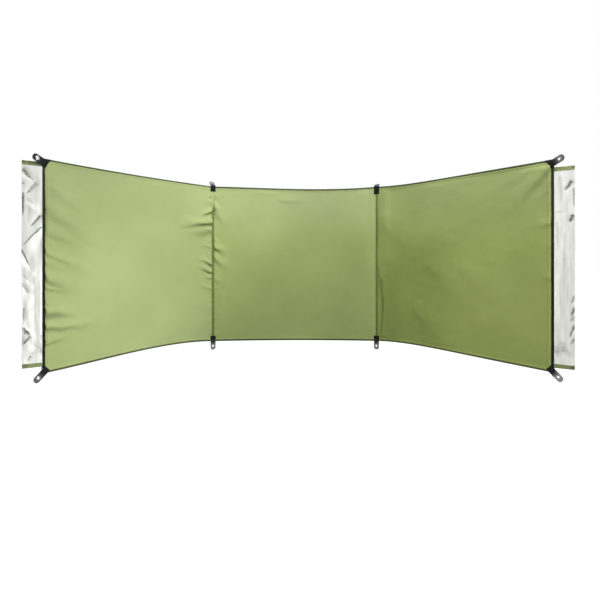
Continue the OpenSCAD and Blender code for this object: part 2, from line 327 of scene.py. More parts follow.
def wandering(bay, x, z):
    """The height at which a bay's creases are looked up, so that they wander a little."""
    return z + 0.013 * ripple(x, z, 45 + BAYS.index(bay), 0.14)


def pleat(x, z):
    edge = PLEAT_X * np.sin(np.clip((PLEAT_TOP - z) / 0.50, 0, 1) * math.pi * 0.72)
    rise = smooth(edge - 0.003, edge + 0.004, x) * np.exp(-np.clip(x - edge, 0, None) / 0.07)
    return PLEAT_H * rise * smooth(PLEAT_TOP, PLEAT_TOP - 0.08, z)


def relief(bay, x, z):
    """How far a bay's front face stands proud of its plain bow at x and z."""
    total = 0.0045 * ripple(x, z, 30 + BAYS.index(bay), 0.55)
    total = total + 0.0008 * ripple(x, z, 40 + BAYS.index(bay), 0.12)
    bent = wandering(bay, x, z)
    for crease in CREASES[bay]:
        total = total + ridge(x, bent, *crease)
    if bay == "right":
        total = total + pleat(x, z)
    to_side = np.minimum(x, BAY_W - x)
    below_top = cloth_edge(bay, "top", x) - z
    above_bottom = z - cloth_edge(bay, "bottom", x)
    to_edge = np.minimum(below_top, above_bottom)
    # The cloth lies on its pole pockets, and a pocket's feet show nowhere through it
    total = total + np.maximum(-total, 0) * smooth(0.080, 0.040, to_side)
    total = total * smooth(0.003, 0.020, to_side) * smooth(0.006, 0.05, to_edge)
    # The turned hems stand out most at their lower edge
    top_hem = 0.0022 * below_top / HEM_H * (1 - smooth(HEM_H - 0.004, HEM_H + 0.006, below_top))
    bottom_hem = (0.0030 - 0.0020 * above_bottom / HEM_H) * (1 - smooth(HEM_H, HEM_H + 0.002, above_bottom))
    hem = np.where(below_top < above_bottom, top_hem, bottom_hem)
    if bay != "middle":
        roll = 0.0022 * np.exp(-(((BAY_W - TAPE_W - 0.010 - x) / 0.007) ** 2))
        hem = np.maximum(hem, roll)
    return total + hem


def shade(bay, x, z):
    """How much painted shade a bay's cloth takes, from 0 to 1: below its sharp creases and in its painted
    patches.
    """
    total = 0 * x
    bent = wandering(bay, x, z)
    for start, end, width, height in CREASES[bay]:
        share, above = from_line(x, bent, start, end)
        line = np.exp(-(((above + 0.9 * width) / (0.55 * width)) ** 2))
        fade = smooth(-0.05, 0.05, share) * (1 - smooth(0.15, 0.75, share))
        total = total + 0.75 * smooth(0.006, 0.016, height) * line * fade
    for line in PAINTED_SHADES[bay]:
        total = total + mark(x, z, *line)
    return np.clip(total, 0, 1)


def on_cloth(bay, x, z, proud=0.0):
    """Points on a bay's front face, or proud of it."""
    return in_bay(bay, x, bow_y(x) - relief(bay, x, z) - proud, z)


# ---- Materials


def linear(red, green, blue):
    """A colour given in 0 to 255 screen values, as the linear one that a shader takes."""
    values = []
    for value in (red, green, blue):
        v = value / 255
        values.append(v / 12.92 if v <= 0.04045 else ((v + 0.055) / 1.055) ** 2.4)
    return (*values, 1.0)


class Nodes:
    """Short calls that add nodes to the tree of a material or a world."""

    def __init__(self, owner):
        owner.use_nodes = True
        self.tree = owner.node_tree

    def give(self, socket, value):
        """Sets a socket's value, or links it to the output of another node."""
        if isinstance(value, bpy.types.NodeSocket):
            self.tree.links.new(value, socket)
        else:
            socket.default_value = value

    def node(self, kind, inputs=None, **settings):
        node = self.tree.nodes.new(kind)
        for key, value in settings.items():
            setattr(node, key, value)
        for key, value in (inputs or {}).items():
            self.give(node.inputs[key], value)
        return node

    def maths(self, operation, first, second):
        return self.node("ShaderNodeMath", {0: first, 1: second}, operation=operation).outputs["Value"]


class Finish(Nodes):
    """A material with a Principled shader, and short calls for its textures.

    Its textures lie in the cloth's own metres, or on a solid piece in the object's.
    """

    def __init__(self, name, roughness, metallic=0.0, sheen=0.0, gloss=0.5, solid=False):
        self.material = bpy.data.materials.new(name)
        super().__init__(self.material)
        self.shader = self.tree.nodes["Principled BSDF"].inputs
        for socket, value in (("Roughness", roughness), ("Metallic", metallic), ("Sheen Weight", sheen),
                              ("Specular IOR Level", gloss)):
            self.shader[socket].default_value = value
        if solid:
            self.place = self.node("ShaderNodeTexCoord").outputs["Object"]
        else:
            self.place = self.node("ShaderNodeUVMap", uv_map="cloth").outputs["UV"]

    def noise(self, scale, detail=3.0, distortion=0.0, place=None):
        inputs = {"Vector": place or self.place, "Scale": scale, "Detail": detail, "Distortion": distortion}
        return self.node("ShaderNodeTexNoise", inputs).outputs["Fac"]

    def wave(self, pitch, along):
        """Stripes across one axis, pitch metres apart."""
        inputs = {"Vector": self.place, "Scale": math.pi / 10 / pitch}
        return self.node("ShaderNodeTexWave", inputs, bands_direction=along).outputs["Fac"]

    def along(self):
        """How far up or along the piece a point lies."""
        return self.node("ShaderNodeSeparateXYZ", {"Vector": self.place}).outputs["Y"]

    def wear(self):
        """How much painted shade a piece takes at each point, as its mesh says; on the seam fell, how much
        of the cloth's own colour.
        """
        return self.node("ShaderNodeAttribute", attribute_name="wear").outputs["Fac"]

    def ramp(self, value, low, high):
        inputs = {"Value": value, "From Min": low, "From Max": high}
        return self.node("ShaderNodeMapRange", inputs, interpolation_type="SMOOTHSTEP").outputs["Result"]

    def mix(self, factor, first, second):
        """Two colours mixed, each the output of a node or three screen values from 0 to 255."""
        node = self.node("ShaderNodeMix", data_type="RGBA")
        sockets = {socket.identifier: socket for socket in node.inputs}
        self.give(sockets["Factor_Float"], factor)
        for name, value in (("A_Color", first), ("B_Color", second)):
            self.give(sockets[name], value if isinstance(value, bpy.types.NodeSocket) else linear(*value))
        return next(socket for socket in node.outputs if socket.identifier == "Result_Color")

    def colour(self, factor, first, second):
        self.give(self.shader["Base Color"], self.mix(factor, first, second))

    def rough(self, value, low, high):
        self.give(self.shader["Roughness"], self.ramp(value, low, high))

    def bump(self, *layers):
        """Each layer is (height, distance in metres, strength)."""
        below = {}
        for height, distance, strength in layers:
            inputs = {"Height": height, "Distance": distance, "Strength": strength, **below}
            below = {"Normal": self.node("ShaderNodeBump", inputs).outputs["Normal"]}
        self.give(self.shader["Normal"], below["Normal"])


def woven_cloth(name, light, dark, mixed_in, roughness, sheen, thread=0.0011, foot=None):
    """Plain-woven cloth: crossing threads, a soft tone that drifts, slubs, and a tone mixed in where its
    mesh says, which is painted shade on the bays and the flap hems.

    Where foot is given, the light and the dark tone change to its two towards the ground.
    """
    finish = Finish(name, roughness, sheen=sheen, gloss=0.2)
    drift = finish.ramp(finish.noise(2.6), 0.35, 0.65)
    fine = finish.ramp(finish.noise(90.0, 2.0), 0.3, 0.7)
    tone = finish.maths("ADD", finish.maths("MULTIPLY", drift, 0.7), finish.maths("MULTIPLY", fine, 0.3))
    if foot:
        down = finish.ramp(finish.along(), 1.12, 0.70)
        light, dark = finish.mix(down, light, foot[0]), finish.mix(down, dark, foot[1])
    finish.colour(finish.wear(), finish.mix(tone, dark, light), mixed_in)
    weave = finish.maths("MULTIPLY", finish.wave(thread, "X"), finish.wave(thread, "Y"))
    finish.bump((weave, 0.00012, 0.5), (finish.noise(240.0, 2.0), 0.0002, 0.25))
    return finish.material


# The colour of the painted shade along the flaps' folds
SILVER_FOLD_SHADE = (96, 99, 84)


def silver_cloth(name, tone, streak, metallic, smoothest):
    """Silver-coated cloth: fine crinkles, streaks along its height, and painted shade of folds where its
    mesh says.
    """
    finish = Finish(name, 0.45, metallic=metallic)
    crinkle = finish.noise(34.0, 4.0, 0.6)
    stretched = finish.node("ShaderNodeMapping", {"Vector": finish.place, "Scale": (26.0, 3.0, 1.0)})
    streaks = finish.ramp(finish.noise(2.0, 3.0, place=stretched.outputs["Vector"]), 0.30, 0.70)
    coat = finish.mix(streaks, [value - streak for value in tone], tone)
    finish.colour(finish.wear(), coat, SILVER_FOLD_SHADE)
    finish.rough(crinkle, smoothest, 2.2)
    finish.bump((crinkle, 0.0016, 0.35))
    return finish.material


def webbing_finish(name, lightened=0.0):
    """Black webbing: ribs, cross threads, some dust, and a free end made lighter by the given share."""
    finish = Finish(name, 0.6, sheen=0.03, gloss=0.15)
    dust = finish.ramp(finish.noise(60.0), 0.35, 0.8)
    patchy = finish.maths("ADD", finish.along(), finish.maths("MULTIPLY", finish.noise(45.0), 0.020))
    lighter_end_share = finish.maths("MULTIPLY", finish.ramp(patchy, 0.006, 0.046), lightened)
    finish.colour(lighter_end_share, finish.mix(dust, (9, 9, 10), (26, 26, 28)), (186, 185, 187))
    finish.bump((finish.wave(0.0016, "X"), 0.0004, 0.7), (finish.wave(0.0009, "Y"), 0.0002, 0.5))
    return finish.material


def tape_finish():
    """Olive tape along the outer edges, darker towards the ground."""
    finish = Finish("edge_tape", 0.7, sheen=0.03, gloss=0.15)
    wander = finish.maths("MULTIPLY", finish.noise(8.0), 0.25)
    up = finish.ramp(finish.maths("ADD", finish.along(), wander), 0.55, 1.15)
    finish.colour(up, (15, 18, 8), (46, 51, 28))
    finish.bump((finish.wave(0.0013, "X"), 0.0003, 0.6))
    return finish.material


def galvanised(name, dark, light):
    """Zinc-coated steel: spangles, and a dull bloom."""
    finish = Finish(name, 0.4, metallic=0.9, solid=True)
    spangle = finish.node("ShaderNodeTexVoronoi", {"Vector": finish.place, "Scale": 180.0}).outputs["Color"]
    grey = finish.node("ShaderNodeRGBToBW", {"Color": spangle}).outputs["Val"]
    finish.colour(grey, (dark, dark + 2, dark + 4), (light, light + 2, light + 4))
    bloom = finish.noise(30.0)
    finish.rough(bloom, -0.4, 1.7)
    finish.bump((bloom, 0.0002, 0.3))
    return finish.material


def nickel():
    """Nickel plating with fine scratches."""
    finish = Finish("nickel", 0.3, metallic=1.0, solid=True)
    scratch = finish.noise(700.0, 4.0, 2.0)
    finish.colour(scratch, (116, 117, 122), (146, 147, 152))
    finish.rough(scratch, -0.7, 2.6)
    finish.bump((scratch, 0.0001, 0.15))
    return finish.material


def thread_finish(name, colour):
    """Twisted thread, with a little painted shade between its plies."""
    finish = Finish(name, 0.6, sheen=0.05, gloss=0.2, solid=True)
    ply = finish.maths("MULTIPLY", finish.noise(900.0, 2.0), 0.3)
    finish.colour(finish.maths("ADD", ply, 0.7), (0, 0, 0), colour)
    return finish.material


# Painted light and shade: how the blue of a bay's green changes at the top and at the foot, paler where lit
# and deeper in shade
BAY_TONES = {"left": (9, 8), "middle": (10, 0), "right": (3, -11)}


def bay_green(bay):
    top, foot = [[(173, 186, 120 + change), (165, 178, 112 + change)] for change in BAY_TONES[bay]]
    return woven_cloth("green_cloth_" + bay, *top, (98, 108, 58), 0.72, 0.06, foot=foot)


GREEN = {bay: bay_green(bay) for bay in BAYS}
# Painted shade: the seam fell is coloured darker than the cloth for the shade in the seam's fold, and its
# third colour is the cloth's own
FELL = woven_cloth("seam_fell", (122, 133, 72), (106, 117, 60), (176, 188, 124), 0.75, 0.04)
HEM_GREEN = woven_cloth("flap_hem", (158, 169, 116), (142, 153, 100), (76, 82, 54), 0.72, 0.08)
OLIVE = woven_cloth("olive_binding", (86, 91, 61), (68, 73, 46), (68, 73, 46), 0.72, 0.03, 0.0008)
SILVER = silver_cloth("silver_cloth", (242, 243, 237), 20, 0.35, -0.9)
LINING = silver_cloth("silver_lining", (222, 223, 219), 7, 0.20, -1.9)
WEBBING = webbing_finish("webbing")
# How much lighter the free end of each tab is made
LIGHTER_END = {
    "left_end_top": 0.05, "left_end_bottom": 0.25, "left_seam_top": 0.55, "left_seam_bottom": 0.60,
    "right_end_top": 0.30, "right_end_bottom": 0.95, "right_seam_top": 0.35, "right_seam_bottom": 0.55,
}
TAB_WEBBING = {name: webbing_finish("webbing_" + name, share) for name, share in LIGHTER_END.items()}
TAPE = tape_finish()
STEEL = {"pole": galvanised("galvanised_steel", 168, 200), "spike": galvanised("bright_zinc", 226, 246)}
NICKEL = nickel()


# ---- Meshes


def build(name, points, faces, uv, materials, looks=None, *, slot, replaces=(), wear=None):
    """A smooth-shaded piece that rides on the root body.

    Looks says which of the materials each face has, and wear is a value from 0 to 1 for each point.
    """
    mesh = bpy.data.meshes.new(name)
    mesh.from_pydata(points.tolist(), [], faces)
    if uv is not None:
        layer = mesh.uv_layers.new(name="cloth")
        corner = np.zeros(len(mesh.loops), int)
        mesh.loops.foreach_get("vertex_index", corner)
        layer.data.foreach_set("uv", uv[corner].astype(np.float32).ravel())
    for material in materials:
        mesh.materials.append(material)
    if looks is not None:
        mesh.polygons.foreach_set("material_index", looks)
    if wear is not None:
        mesh.attributes.new("wear", "FLOAT", "POINT").data.foreach_set("value", wear.astype(np.float32))
    work = bmesh.new()
    work.from_mesh(mesh)
    bmesh.ops.recalc_face_normals(work, faces=work.faces)
    work.to_mesh(mesh)
    work.free()
    mesh.shade_smooth()
    piece = bpy.data.objects.new(name, mesh)
    bpy.context.scene.collection.objects.link(piece)
    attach(piece, "root")
    if replaces:
        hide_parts(*replaces)
    return piece


def grid_faces(rows, columns, first=0, wrap=False):
    """Faces of a grid of points whose index is first + row * columns + column."""
    faces = []
    spans = columns if wrap else columns - 1
    for i in range(rows - 1):
        for j in range(spans):
            a, b = first + i * columns + j, first + i * columns + (j + 1) % columns
            faces.append((a, b, b + columns, a + columns))
    return faces


def two_sided(front, back):
    """Points and faces of a thin closed sheet between two grids, and how many faces its front has."""
    rows, columns = front.shape[:2]
    count = rows * columns
    points = np.concatenate([front.reshape(-1, 3), back.reshape(-1, 3)])
    faces = grid_faces(rows, columns)
    faces += [tuple(reversed(f)) for f in grid_faces(rows, columns, count)]
    rim = list(range(columns))
    rim += [i * columns + columns - 1 for i in range(1, rows)]
    rim += [(rows - 1) * columns + j for j in range(columns - 2, -1, -1)]
    rim += [i * columns for i in range(rows - 2, 0, -1)]
    for a, b in zip(rim, rim[1:] + rim[:1]):
        faces.append((a, b, b + count, a + count))
    return points, faces, (rows - 1) * (columns - 1)


def build_sheet(name, front, back, across, along, materials, looks=(0, 0, 0), **more):
    """A thin closed piece between two grids of points, whose own coordinates are across and along.

    Looks are the materials of its front, its back and its rim, and the front's may differ face by face.
    """
    points, faces, count = two_sided(front, back)
    uv = np.stack([across, along], axis=-1).reshape(-1, 2)
    each = np.zeros(len(faces), int)
    each[:count], each[count:2 * count], each[2 * count:] = looks
    return build(name, points, faces, np.concatenate([uv, uv]), materials, each, **more)


def swept(loops):
    """Points and faces of a closed solid through rings of points."""
    rows, columns = loops.shape[:2]
    faces = grid_faces(rows, columns, wrap=True)
    faces.append(tuple(range(columns)))
    faces.append(tuple(range((rows - 1) * columns, rows * columns)))
    return loops.reshape(-1, 3), faces


def unit(v):
    return v / np.linalg.norm(v, axis=-1, keepdims=True)


class Stitching:
    """Rows of stitches that are joined into one piece: each a short bar with sunk ends."""

    LONG, PITCH, RADIUS, SIDES_EACH = 0.0036, 0.0054, 0.00042, 3
    # Rings of a bar: the place along it and the size
    RINGS = ((-0.5, 0.25), (-0.3, 1.0), (0.3, 1.0), (0.5, 0.25))

    def __init__(self, name, slot, thread, colour):
        self.name, self.slot, self.material = name, slot, thread_finish(thread, colour)
        self.points = []
        self.faces = []
        self.count = 0

    def row(self, line, normal):
        """Stitches along a line of points, on a surface that faces normal."""
        steps = np.linalg.norm(np.diff(line, axis=0), axis=1)
        along = np.concatenate([[0], np.cumsum(steps)])
        at = np.arange(self.PITCH / 2, along[-1], self.PITCH)
        ends = [np.stack([np.interp(at + s, along, line[:, k]) for k in range(3)], 1)
                for s in (-self.LONG / 2, self.LONG / 2)]
        middle = (ends[0] + ends[1]) / 2
        forward = unit(ends[1] - ends[0])
        normal = np.broadcast_to(normal, forward.shape)
        across = unit(np.cross(forward, normal))
        up = unit(np.cross(across, forward))
        for share, size in self.RINGS:
            for side in range(self.SIDES_EACH):
                turn = 2 * math.pi * side / self.SIDES_EACH
                lift = (math.sin(turn) * size + (0.35 if size == 1 else -0.5)) * self.RADIUS
                place = middle + forward * share * self.LONG + up * lift
                self.points.append(place + across * math.cos(turn) * size * self.RADIUS)
        n, s = len(middle), self.SIDES_EACH
        for k in range(n):
            corner = [[self.count + (r * s + side) * n + k for side in range(s)]
                      for r in range(len(self.RINGS))]
            for low, high in zip(corner, corner[1:]):
                for a in range(s):
                    b = (a + 1) % s
                    self.faces.append((low[a], low[b], high[b], high[a]))
            self.faces += [tuple(corner[0]), tuple(corner[-1])]
        self.count += len(self.RINGS) * s * n

    def finish(self):
        build(self.name, np.concatenate(self.points), self.faces, None, [self.material], slot=self.slot)


cloth_stitches = Stitching("cloth_stitching", "cloth_green", "green_thread", (150, 162, 98))
tape_stitches = Stitching("tape_stitching", "binding_olive", "olive_thread", (104, 112, 66))
tab_stitches = Stitching("tab_stitching", "webbing_black", "black_thread", (30, 30, 32))
pocket_stitches = Stitching("pocket_stitching", "cloth_silver", "grey_thread", (176, 178, 176))


# ---- Bays

COLUMNS = 128
BODY_ROWS = 250
HEM_ROWS = 9


def bay_columns():
    """Places along a bay, closer together near its two ends."""
    t = np.linspace(0, 1, COLUMNS)
    return BAY_W * (t - 0.105 * np.sin(2 * math.pi * t))


def bay_levels():
    """Shares of the cloth's height, closer together in the hems."""
    hem = (HEM_H + 0.004) / (CLOTH_HIGH - CLOTH_LOW)
    low = np.linspace(0, hem, HEM_ROWS, endpoint=False)
    body = np.linspace(hem, 1 - hem, BODY_ROWS)
    return np.concatenate([low, body, (1 - low)[::-1]])


def bay_cloth(bay):
    """The cloth of a bay, green in front and silver behind, tucked into the bindings at both edges."""
    tuck = 0.003
    x, share = np.meshgrid(bay_columns(), bay_levels())
    low = cloth_edge(bay, "bottom", x) + tuck
    high = cloth_edge(bay, "top", x) - tuck
    z = low + (high - low) * share
    front_y = bow_y(x) - relief(bay, x, z)
    front = in_bay(bay, x, front_y, z)
    back = in_bay(bay, x, front_y + CLOTH_T, z)
    # Painted shade below the creases and in the shaded patches, on the front only
    dark = shade(bay, x, z).ravel()
    cloth = build_sheet(bay + "_bay_cloth", front, back, x, z, [GREEN[bay], LINING], (0, 1, 0),
                        wear=np.concatenate([dark, 0 * dark]),
                        slot="cloth_green", replaces=[bay + "_panel"])
    line_x = np.linspace(0.02, BAY_W - 0.02, 240)
    for level, inward in (("top", -1), ("bottom", 1)):
        line_z = cloth_edge(bay, level, line_x) + inward * (HEM_H - 0.003)
        cloth_stitches.row(on_cloth(bay, line_x, line_z), front_of(in_bay, bay))
    return cloth


# How tall each binding looks, as (top, bottom)
BINDING_SEEN = {"left": (0.0095, 0.0110), "middle": (0.0125, 0.0118), "right": (0.0115, 0.0100)}


def binding(bay, level):
    """A narrow tape folded over the cloth's top or bottom edge."""
    top = level == "top"
    tall = BINDING_SEEN[bay][0 if top else 1]
    x = np.linspace(0.0006, BAY_W - 0.0006, 170)
    edge = cloth_edge(bay, level, x)
    inward = -1 if top else 1
    wobble = 0.0005 * ripple(x, x * 0, 50 + BAYS.index(bay) + 3 * top, 0.09)
    turns = np.linspace(0, 2 * math.pi, 12, endpoint=False)
    thick = 0.0019
    rings = []
    for turn in turns:
        # A flat loop: round at the outer edge, nearly square at the inner one
        reach = 0.5 - 0.5 * np.sign(math.cos(turn)) * abs(math.cos(turn)) ** 0.6
        bulge = np.sign(math.sin(turn)) * abs(math.sin(turn)) ** 0.5
        z = edge + inward * reach * (tall + wobble)
        y = bow_y(x) - relief(bay, x, edge + inward * 0.005) + CLOTH_T / 2
        rings.append(in_bay(bay, x, y + bulge * thick, z))
    points, faces = swept(np.stack(rings, axis=1))
    around = np.tile(turns / (2 * math.pi) * 0.02, len(x))
    uv = np.stack([np.repeat(x, len(turns)), around], axis=-1)
    piece = build(f"{bay}_{level}_edge_binding", points, faces, uv, [OLIVE],
                  slot="binding_olive", replaces=[f"{bay}_{level}_binding"])
    line_x = x[4:-4]
    line_z = edge[4:-4] + inward * (tall - 0.0018)
    tape_stitches.row(on_cloth(bay, line_x, line_z, thick - CLOTH_T / 2), front_of(in_bay, bay))
    return piece


def end_tape(side):
    """The olive tape down an outer edge, which wanders a little."""
    z = np.linspace(CLOTH_LOW + BINDING_H * 0.6, CLOTH_HIGH - BINDING_H * 0.6, 200)
    across = np.linspace(0, 1, 9)
    level, share = np.meshgrid(z, across, indexing="ij")
    wander = 0.0012 * ripple(level * 0, level, 60 + SIDES[side], 0.25)
    wide = TAPE_W - 0.0015 + 0.0012 * ripple(level * 0, level, 64 + SIDES[side], 0.08)
    x = BAY_W + 0.0015 - wide * (1 - share) + wander * (1 - share)
    swell = TAPE_T * (1 - (2 * share - 1) ** 6) + 0.0003
    clear = np.clip(x, 0, BAY_W)
    base = bow_y(clear) - relief(side, clear, level)
    front = in_bay(side, x, base - swell, level)
    back = in_bay(side, x, base + 0.0004, level)
    build_sheet(side + "_edge_tape", front, back, x, level, [TAPE],
                slot="binding_olive", replaces=[side + "_end_tape"])
    line = np.linspace(CLOTH_LOW + 0.03, CLOTH_HIGH - 0.03, 240)
    for inset in (0.003, 0.013):
        tape_stitches.row(on_cloth(side, BAY_W - inset, line, TAPE_T), front_of(in_bay, side))


def near_seam(bay, side, gap):
    """The place in a bay that lies gap away from a side's seam."""
    return BAY_W - gap if (bay, side) == ("middle", "right") else gap


def seam_fell(side):
    """The folded seam between two bays: a narrow raised strip that puckers."""
    z = np.linspace(CLOTH_LOW + BINDING_H, CLOTH_HIGH - BINDING_H, 260)
    half_w = FELL_HALF_W[side] + 0.0006 * ripple(z * 0, z, 70 + SIDES[side], 0.07)
    spread = np.linspace(-1, 1, 13)
    level, share = np.meshgrid(z, spread, indexing="ij")
    off = share * half_w[:, None]
    rise = BAND_T * (1 - share**6) + 0.0007 * ripple(level * 0 + off, level, 74 + SIDES[side], 0.030)
    fronts, backs = np.zeros((*level.shape, 3)), np.zeros((*level.shape, 3))
    for bay, mask in (("middle", off < 0), (side, off >= 0)):
        x = near_seam(bay, side, np.abs(off))
        y = bow_y(x) - relief(bay, x, level)
        for target, proud in ((fronts, rise + 0.0003), (backs, -0.0004)):
            target[mask] = in_bay(bay, x, y - proud, level)[mask]
    # Near the top of the left seam the fell's painted shade gives way to the cloth's own colour
    unshaded_top = smooth(1.00, 1.05, level + 0.02 * ripple(off, level, 78, 0.05)) * (side == "left")
    build_sheet(side + "_seam_fell", fronts, backs, off, level, [FELL], slot="cloth_green",
                replaces=[side + "_seam_band"], wear=np.tile(unshaded_top.ravel(), 2))
    line_z = np.linspace(CLOTH_LOW + 0.045, CLOTH_HIGH - 0.05, 240)
    for bay in ("middle", side):
        line = on_cloth(bay, near_seam(bay, side, 0.0042), line_z, BAND_T)
        cloth_stitches.row(line, front_of(in_bay, bay))


# ---- Flaps

# Folds of the flaps, as for the creases but in a flap's own frame, valleys below zero
FLAP_FOLDS = in_metres({
    "left": [
        (92, 1128, 45, 1078, 26, -4.5), (24, 1064, 75, 1002, 24, -4.2), (92, 960, 15, 900, 34, 3.6),
        (10, 888, 58, 828, 22, -4), (4, 830, 90, 732, 34, 4.6), (94, 706, 48, 600, 32, -4.6),
        (4, 760, 60, 640, 36, -2.6), (95, 640, 10, 550, 40, 3), (92, 528, 60, 486, 22, -4),
        (38, 560, 34, 220, 24, -1.8), (88, 420, 80, 340, 16, -3), (90, 308, 52, 266, 14, 5.6),
        (52, 266, 90, 226, 14, 5.6), (0, 180, 52, 220, 28, -3.6), (56, 156, 76, 132, 14, -3),
    ],
    "right": [
        (80, 1068, 50, 1020, 18, -3.4), (90, 888, 70, 856, 18, -3), (8, 914, 52, 908, 20, -1.4),
        (30, 1120, 34, 780, 34, 3.4), (60, 960, 56, 520, 36, 3), (22, 700, 30, 260, 34, 3),
        (95, 470, 80, 430, 12, -2.4), (95, 404, 78, 346, 12, -3), (94, 316, 66, 254, 14, -3),
        (28, 226, 88, 130, 26, -4.4),
    ],
})
# Painted shade along the flaps' folds and curled edges, with a strength in place of the height
FLAP_SHADE_MARKS = in_metres({
    "left": [
        (96, 1168, 78, 1164, 8, 0.8), (93, 1126, 58, 1084, 15, 0.85), (62, 1092, 42, 1075, 4, 0.8),
        (94, 1057, 83, 1050, 4.5, 0.7), (94, 1006, 83, 999, 4.5, 0.8),
        (28, 1060, 76, 998, 10.5, 0.55), (60, 1018, 76, 999, 3.5, 0.5),
        (91, 995, 90, 880, 7.5, 0.95), (72, 973, 38, 954, 8, 0.25), (10, 890, 58, 828, 6.2, 1),
        (4, 832, 50, 784, 4.2, 1), (45, 790, 92, 730, 3.6, 0.85), (94, 710, 62, 630, 4.8, 1),
        (70, 650, 48, 598, 3, 0.5), (86, 580, 58, 549, 3.2, 0.55), (94, 530, 60, 484, 12, 0.45),
        (38, 540, 36, 230, 8, 0.2), (18, 600, 18, 340, 6, 0.12), (88, 410, 86, 330, 5.5, 0.8),
        (88, 310, 52, 266, 6.5, 0.95), (84, 286, 58, 284, 11, 0.55), (56, 262, 90, 224, 6, 0.95),
        (5, 266, 5, 238, 4.5, 0.5), (46, 190, 0, 176, 23, 0.42), (54, 160, 74, 134, 3.6, 0.65),
        (96, 116, 66, 112, 11, 0.5), (94, 250, 78, 250, 30, 0.35),
    ],
    "right": [
        (30, 1100, 36, 960, 8, 0.2), (14, 860, 20, 700, 8, 0.2), (52, 800, 46, 600, 9, 0.18),
        (26, 560, 32, 380, 8, 0.14), (66, 540, 60, 400, 7, 0.14), (98, 1144, 76, 1140, 9, 0.6),
        (0, 1132, 14, 1132, 9, 0.6), (82, 1070, 48, 1018, 10, 0.95), (90, 1030, 90, 930, 4, 0.75),
        (88, 892, 70, 852, 12.5, 0.9), (10, 912, 56, 910, 5.5, 0.24), (95, 472, 80, 430, 7, 0.7),
        (94, 408, 79, 368, 8, 0.85), (92, 366, 73, 336, 7.5, 0.6), (94, 318, 71, 252, 8, 0.85),
        (92, 250, 77, 218, 7, 0.65), (34, 224, 78, 145, 15, 0.3), (0, 188, 56, 180, 24, 0.34),
        (14, 184, 18, 140, 8, 0.25), (98, 100, 72, 98, 12, 0.6),
    ],
}, 1)


def flap_relief(side, x, z):
    """How far a flap stands proud of its plain strip: folds, soft waves, a curled edge and hems."""
    seed = 80 + SIDES[side]
    total = 0.0024 * ripple(x, z, seed, 0.30) + 0.0005 * ripple(x * 1.4, z, seed + 5, 0.07)
    for line in FLAP_FOLDS[side]:
        total = total + fold(x, z, *line)
    # The outer edge curls back a little here and there
    curl = np.clip(ripple(x * 0, z, seed + 9, 0.11), 0, 1)
    total = total - 0.0050 * curl * smooth(0.072, 0.098, x)
    total = total * smooth(0.0, 0.014, x)
    in_hem = np.minimum(z - FLAP_LOW[side], FLAP_HIGH[side] - z)
    calm = smooth(0.0, 0.05, in_hem)
    return total * (0.35 + 0.65 * calm) + 0.0010 * (1 - smooth(FLAP_HEM - 0.001, FLAP_HEM + 0.002, in_hem))


def flap(side):
    """A strip of cloth past the outer pole: silver in front, green behind and in its turned hems."""
    columns, rows = 56, 340
    share, level = np.meshgrid(np.linspace(0, 1, columns), np.linspace(0, 1, rows))
    lean = 0.0012 * ripple(level * 0, level, 90 + SIDES[side], 0.3)
    outer = FLAP_W + 0.0015 * ripple(level * 0, level, 92 + SIDES[side], 0.12) + lean
    x = FLAP_START + (outer - FLAP_START) * share
    low, high = FLAP_LOW[side], FLAP_HIGH[side]
    z = low + (high - low) * level
    height = flap_relief(side, x, z)
    front = on_flap(side, x, -height, z)
    back = on_flap(side, x, CLOTH_T * 0.8 - height, z)
    row_z = (z[:-1, :-1] + z[1:, 1:]).ravel() / 2
    in_hem = (row_z < low + FLAP_HEM) | (row_z > high - FLAP_HEM)
    # Painted shade along the folds and the curled edge, in patches
    mixed_in = 0 * x
    bent = z + 0.0035 * ripple(x, z, 96 + SIDES[side], 0.035)
    patchy = 1 + 0.5 * ripple(x, z, 98 + SIDES[side], 0.022)
    for line in FLAP_SHADE_MARKS[side]:
        mixed_in = mixed_in + mark(x, bent, *line) * patchy
    mixed_in = np.clip(mixed_in, 0, 1).ravel()
    piece = build_sheet(side + "_silver_flap", front, back, x, z, [SILVER, HEM_GREEN], (in_hem, 1, 1),
                        wear=np.concatenate([mixed_in, 0 * mixed_in]),
                        slot="cloth_silver", replaces=[side + "_flap"])
    line_x = np.linspace(0.004, FLAP_W - 0.003, 40)
    for line_z in (low + FLAP_HEM - 0.003, high - FLAP_HEM + 0.003):
        height = flap_relief(side, line_x, line_z + 0 * line_x)
        cloth_stitches.row(on_flap(side, line_x, -height, line_z), front_of(on_flap, side))
    return piece


# ---- Corner patches


def corner_patches(side):
    """The black triangles at the top and the bottom outer corner."""
    leg, steps, thick = 0.050, 15, 0.0009
    all_points, all_faces, all_uv, count = [], [], [], 0
    for level, inward in ((CLOTH_HIGH, -1), (CLOTH_LOW, 1)):
        along, down = np.meshgrid(np.linspace(0, 1, steps), np.linspace(0, 0.96, steps))
        x = -leg * along * (1 - down)
        drop = leg * down
        z = level + inward * drop
        lift = PATCH_LIFT + 0.0002 * ripple(x, z, 95, 0.02)
        front = at_end(side, x, -lift, z)
        back = at_end(side, x, -lift + thick, z)
        points, faces, _ = two_sided(front, back)
        uv = np.stack([x, z], axis=-1).reshape(-1, 2)
        all_points.append(points)
        all_faces += [tuple(v + count for v in f) for f in faces]
        all_uv += [uv, uv]
        count += len(points)
        inset = 0.004
        far = leg - 3 * inset
        corners = [(-far, inset), (-inset, inset), (-inset, far), (-far, inset)]
        for corner, following in zip(corners, corners[1:]):
            seam_x, seam_drop = np.linspace(corner, following, 20).T
            line = at_end(side, seam_x, -PATCH_LIFT, level + inward * seam_drop)
            tab_stitches.row(line, front_of(at_end, side))
    build(side + "_corner_patch_pair", np.concatenate(all_points), all_faces, np.concatenate(all_uv),
          [WEBBING], slot="webbing_black", replaces=[side + "_corner_patches"])


# ---- Tabs and eyelets


